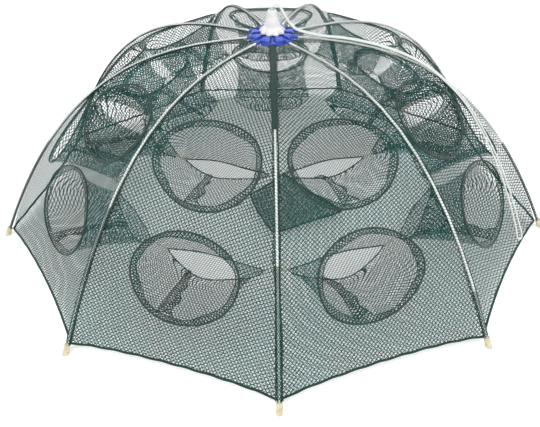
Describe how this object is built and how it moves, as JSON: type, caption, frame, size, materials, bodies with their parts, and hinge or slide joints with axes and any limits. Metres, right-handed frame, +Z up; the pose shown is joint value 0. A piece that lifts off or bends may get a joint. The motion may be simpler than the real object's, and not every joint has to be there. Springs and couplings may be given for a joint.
{
  "type": "folding crab trap",
  "caption": "Umbrella-type folding crab trap: bent rods hinged on a central hub, net dome with oval funnel entrances, net floor, bait pouch and pull cord.",
  "frame": {"origin": "on the ground, under the middle of the base's bounding box, 14 mm behind the hub's axis", "axes": "+Z up along the hub's axis, -Y towards rib 1, the front rod"},
  "size_m": [0.9162, 0.9026, 0.3672],
  "materials": {
    "hub_blue": "moulded, semi-gloss",
    "cap_white": "moulded, semi-gloss",
    "hinge_steel": "drawn wire",
    "rod": "pultruded fibreglass, satin",
    "foot_tan": "soft translucent plastic",
    "net": "knotless polyethylene net, 4.5 mm mesh",
    "pouch_net": "fine net, 2 mm mesh",
    "ring_wire": "plastic-coated wire",
    "cord": "braided cord"
  },
  "bodies": {
    "hub": {"hub_base": "hub_blue", "hub_cap": "cap_white", "hinge_wire": "hinge_steel", "floor_net": "net", "bait_pouch": "pouch_net", "pull_cord": "cord"},
    "rib_1": {"rib_1": "rod", "knuckle_1": "hub_blue", "foot_1": "foot_tan"},
    "rib_2": {"rib_2": "rod", "knuckle_2": "hub_blue", "foot_2": "foot_tan"},
    "rib_3": {"rib_3": "rod", "knuckle_3": "hub_blue", "foot_3": "foot_tan"},
    "rib_4": {"rib_4": "rod", "knuckle_4": "hub_blue", "foot_4": "foot_tan"},
    "rib_5": {"rib_5": "rod", "knuckle_5": "hub_blue", "foot_5": "foot_tan"},
    "rib_6": {"rib_6": "rod", "knuckle_6": "hub_blue", "foot_6": "foot_tan"},
    "rib_7": {"rib_7": "rod", "knuckle_7": "hub_blue", "foot_7": "foot_tan"},
    "rib_8": {"rib_8": "rod", "knuckle_8": "hub_blue", "foot_8": "foot_tan"},
    "rib_9": {"rib_9": "rod", "knuckle_9": "hub_blue", "foot_9": "foot_tan"},
    "gore_1": {"net_panel_1": "net", "ring_lower_1": "ring_wire", "ring_upper_1": "ring_wire"},
    "gore_2": {"net_panel_2": "net", "ring_lower_2": "ring_wire", "ring_upper_2": "ring_wire"},
    "gore_3": {"net_panel_3": "net", "ring_lower_3": "ring_wire", "ring_upper_3": "ring_wire"},
    "gore_4": {"net_panel_4": "net", "ring_lower_4": "ring_wire", "ring_upper_4": "ring_wire"},
    "gore_5": {"net_panel_5": "net", "ring_lower_5": "ring_wire", "ring_upper_5": "ring_wire"},
    "gore_6": {"net_panel_6": "net", "ring_lower_6": "ring_wire", "ring_upper_6": "ring_wire"},
    "gore_7": {"net_panel_7": "net", "ring_lower_7": "ring_wire", "ring_upper_7": "ring_wire"},
    "gore_8": {"net_panel_8": "net", "ring_lower_8": "ring_wire", "ring_upper_8": "ring_wire"},
    "gore_9": {"net_panel_9": "net", "ring_lower_9": "ring_wire", "ring_upper_9": "ring_wire"}
  },
  "joints": [
    {"name": "rib_fold_1", "type": "hinge", "parent": "hub", "child": "rib_1", "pos_m": [0, -0.00409, 0.3174], "axis": [1, 0, 0], "range_deg": [0, 51.5], "deforming": ["floor_net", "bait_pouch", "pull_cord"]},
    {"name": "rib_fold_2", "type": "hinge", "parent": "hub", "child": "rib_2", "pos_m": [0.01157, 0.00012, 0.3174], "axis": [0.766, 0.6428, 0], "range_deg": [0, 51.5]},
    {"name": "rib_fold_3", "type": "hinge", "parent": "hub", "child": "rib_3", "pos_m": [0.01773, 0.01078, 0.3174], "axis": [0.1736, 0.9848, 0], "range_deg": [0, 51.5]},
    {"name": "rib_fold_4", "type": "hinge", "parent": "hub", "child": "rib_4", "pos_m": [0.01559, 0.02291, 0.3174], "axis": [-0.5, 0.866, 0], "range_deg": [0, 51.5]},
    {"name": "rib_fold_5", "type": "hinge", "parent": "hub", "child": "rib_5", "pos_m": [0.00616, 0.03082, 0.3174], "axis": [-0.9397, 0.342, 0], "range_deg": [0, 51.5]},
    {"name": "rib_fold_6", "type": "hinge", "parent": "hub", "child": "rib_6", "pos_m": [-0.00616, 0.03082, 0.3174], "axis": [-0.9397, -0.342, 0], "range_deg": [0, 51.5]},
    {"name": "rib_fold_7", "type": "hinge", "parent": "hub", "child": "rib_7", "pos_m": [-0.01559, 0.02291, 0.3174], "axis": [-0.5, -0.866, 0], "range_deg": [0, 51.5]},
    {"name": "rib_fold_8", "type": "hinge", "parent": "hub", "child": "rib_8", "pos_m": [-0.01773, 0.01078, 0.3174], "axis": [0.1736, -0.9848, 0], "range_deg": [0, 51.5]},
    {"name": "rib_fold_9", "type": "hinge", "parent": "hub", "child": "rib_9", "pos_m": [-0.01157, 0.00012, 0.3174], "axis": [0.766, -0.6428, 0], "range_deg": [0, 51.5]},
    {"name": "gore_fold_1", "type": "hinge", "parent": "hub", "child": "gore_1", "pos_m": [0.00616, -0.00301, 0.3174], "axis": [0.9397, 0.342, 0], "range_deg": [0, 51.5], "deforming": ["net_panel_1", "ring_lower_1", "ring_upper_1"]},
    {"name": "gore_fold_2", "type": "hinge", "parent": "hub", "child": "gore_2", "pos_m": [0.01559, 0.00491, 0.3174], "axis": [0.5, 0.866, 0], "range_deg": [0, 51.5], "deforming": ["net_panel_2", "ring_lower_2", "ring_upper_2"]},
    {"name": "gore_fold_3", "type": "hinge", "parent": "hub", "child": "gore_3", "pos_m": [0.01773, 0.01703, 0.3174], "axis": [-0.1736, 0.9848, 0], "range_deg": [0, 51.5], "deforming": ["net_panel_3", "ring_lower_3", "ring_upper_3"]},
    {"name": "gore_fold_4", "type": "hinge", "parent": "hub", "child": "gore_4", "pos_m": [0.01157, 0.0277, 0.3174], "axis": [-0.766, 0.6428, 0], "range_deg": [0, 51.5], "deforming": ["net_panel_4", "ring_lower_4", "ring_upper_4"]},
    {"name": "gore_fold_5", "type": "hinge", "parent": "hub", "child": "gore_5", "pos_m": [0, 0.03191, 0.3174], "axis": [-1, 0, 0], "range_deg": [0, 51.5], "deforming": ["net_panel_5", "ring_lower_5", "ring_upper_5"]},
    {"name": "gore_fold_6", "type": "hinge", "parent": "hub", "child": "gore_6", "pos_m": [-0.01157, 0.0277, 0.3174], "axis": [-0.766, -0.6428, 0], "range_deg": [0, 51.5], "deforming": ["net_panel_6", "ring_lower_6", "ring_upper_6"]},
    {"name": "gore_fold_7", "type": "hinge", "parent": "hub", "child": "gore_7", "pos_m": [-0.01773, 0.01703, 0.3174], "axis": [-0.1736, -0.9848, 0], "range_deg": [0, 51.5], "deforming": ["net_panel_7", "ring_lower_7", "ring_upper_7"]},
    {"name": "gore_fold_8", "type": "hinge", "parent": "hub", "child": "gore_8", "pos_m": [-0.01559, 0.00491, 0.3174], "axis": [0.5, -0.866, 0], "range_deg": [0, 51.5], "deforming": ["net_panel_8", "ring_lower_8", "ring_upper_8"]},
    {"name": "gore_fold_9", "type": "hinge", "parent": "hub", "child": "gore_9", "pos_m": [-0.00616, -0.00301, 0.3174], "axis": [0.9397, -0.342, 0], "range_deg": [0, 51.5], "deforming": ["net_panel_9", "ring_lower_9", "ring_upper_9"]}
  ],
  "couplings": [
    {"joint": "rib_fold_2", "follows": "rib_fold_1", "ratio": 1},
    {"joint": "rib_fold_3", "follows": "rib_fold_1", "ratio": 1},
    {"joint": "rib_fold_4", "follows": "rib_fold_1", "ratio": 1},
    {"joint": "rib_fold_5", "follows": "rib_fold_1", "ratio": 1},
    {"joint": "rib_fold_6", "follows": "rib_fold_1", "ratio": 1},
    {"joint": "rib_fold_7", "follows": "rib_fold_1", "ratio": 1},
    {"joint": "rib_fold_8", "follows": "rib_fold_1", "ratio": 1},
    {"joint": "rib_fold_9", "follows": "rib_fold_1", "ratio": 1},
    {"joint": "gore_fold_1", "follows": "rib_fold_1", "ratio": 1},
    {"joint": "gore_fold_2", "follows": "rib_fold_1", "ratio": 1},
    {"joint": "gore_fold_3", "follows": "rib_fold_1", "ratio": 1},
    {"joint": "gore_fold_4", "follows": "rib_fold_1", "ratio": 1},
    {"joint": "gore_fold_5", "follows": "rib_fold_1", "ratio": 1},
    {"joint": "gore_fold_6", "follows": "rib_fold_1", "ratio": 1},
    {"joint": "gore_fold_7", "follows": "rib_fold_1", "ratio": 1},
    {"joint": "gore_fold_8", "follows": "rib_fold_1", "ratio": 1},
    {"joint": "gore_fold_9", "follows": "rib_fold_1", "ratio": 1}
  ]
}
